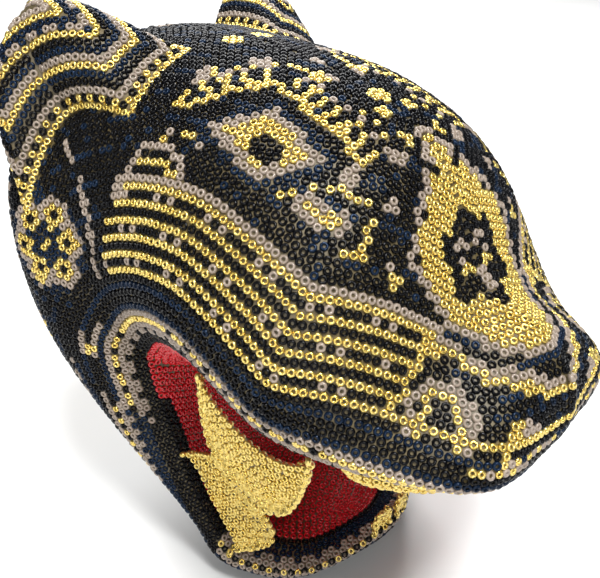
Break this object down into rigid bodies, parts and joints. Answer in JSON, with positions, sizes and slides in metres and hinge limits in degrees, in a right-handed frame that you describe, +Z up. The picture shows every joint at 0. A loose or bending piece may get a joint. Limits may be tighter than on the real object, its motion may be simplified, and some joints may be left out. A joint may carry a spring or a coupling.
{
  "type": "beaded animal head",
  "caption": "Wall-hung carved big cat head with an open snarling mouth, covered in rows of gold, taupe, black and red seed beads set in wax.",
  "frame": {"origin": "mouth of the hanging hole, on the wall plane", "axes": "+Y towards the wall, +Z up; the face looks along -Y"},
  "size_m": [0.1124, 0.1399, 0.1582],
  "materials": {
    "softwood": "matt, bare",
    "beeswax": "soft satin wax",
    "gold_beads": "bright metallic glaze",
    "taupe_beads": "opaque glossy glass",
    "black_beads": "opaque glossy glass",
    "blue_beads": "iris blue-black glass",
    "red_beads": "opaque glossy glass"
  },
  "bodies": {
    "root": {"head_core": "softwood", "jaw_core": "softwood", "back_board": "softwood", "wax_face_right": "beeswax", "wax_face_left": "beeswax", "wax_side_right": "beeswax", "wax_side_left": "beeswax", "wax_crown_right": "beeswax", "wax_crown_left": "beeswax", "wax_nape_right": "beeswax", "wax_nape_left": "beeswax", "wax_jaw_right": "beeswax", "wax_jaw_left": "beeswax", "wax_mouth_right": "beeswax", "wax_mouth_left": "beeswax", "upper_lip_beads_right": "taupe_beads", "upper_lip_beads_left": "taupe_beads", "muzzle_beads_right": "black_beads", "muzzle_beads_left": "black_beads", "nose_panel_beads_right": "gold_beads", "nose_panel_beads_left": "gold_beads", "cheek_beads_right": "gold_beads", "cheek_beads_left": "gold_beads", "brow_beads_right": "black_beads", "brow_beads_left": "black_beads", "rear_cheek_beads_right": "blue_beads", "rear_cheek_beads_left": "blue_beads", "crown_beads_right": "black_beads", "crown_beads_left": "black_beads", "nape_beads_right": "blue_beads", "nape_beads_left": "blue_beads", "lower_lip_beads_right": "taupe_beads", "lower_lip_beads_left": "taupe_beads", "jaw_beads_right": "blue_beads", "jaw_beads_left": "blue_beads", "mouth_lining_beads_right": "red_beads", "mouth_lining_beads_left": "red_beads", "ear_peg_right": "softwood", "ear_peg_left": "softwood", "ear_core_right": "softwood", "ear_wax_right": "beeswax", "ear_beads_right": "gold_beads", "upper_fang_right": "gold_beads", "lower_fang_right": "gold_beads", "upper_teeth_right": "gold_beads", "lower_teeth_right": "gold_beads", "ear_core_left": "softwood", "ear_wax_left": "beeswax", "ear_beads_left": "gold_beads", "upper_fang_left": "gold_beads", "lower_fang_left": "gold_beads", "upper_teeth_left": "gold_beads", "lower_teeth_left": "gold_beads"}
  },
  "joints": []
}
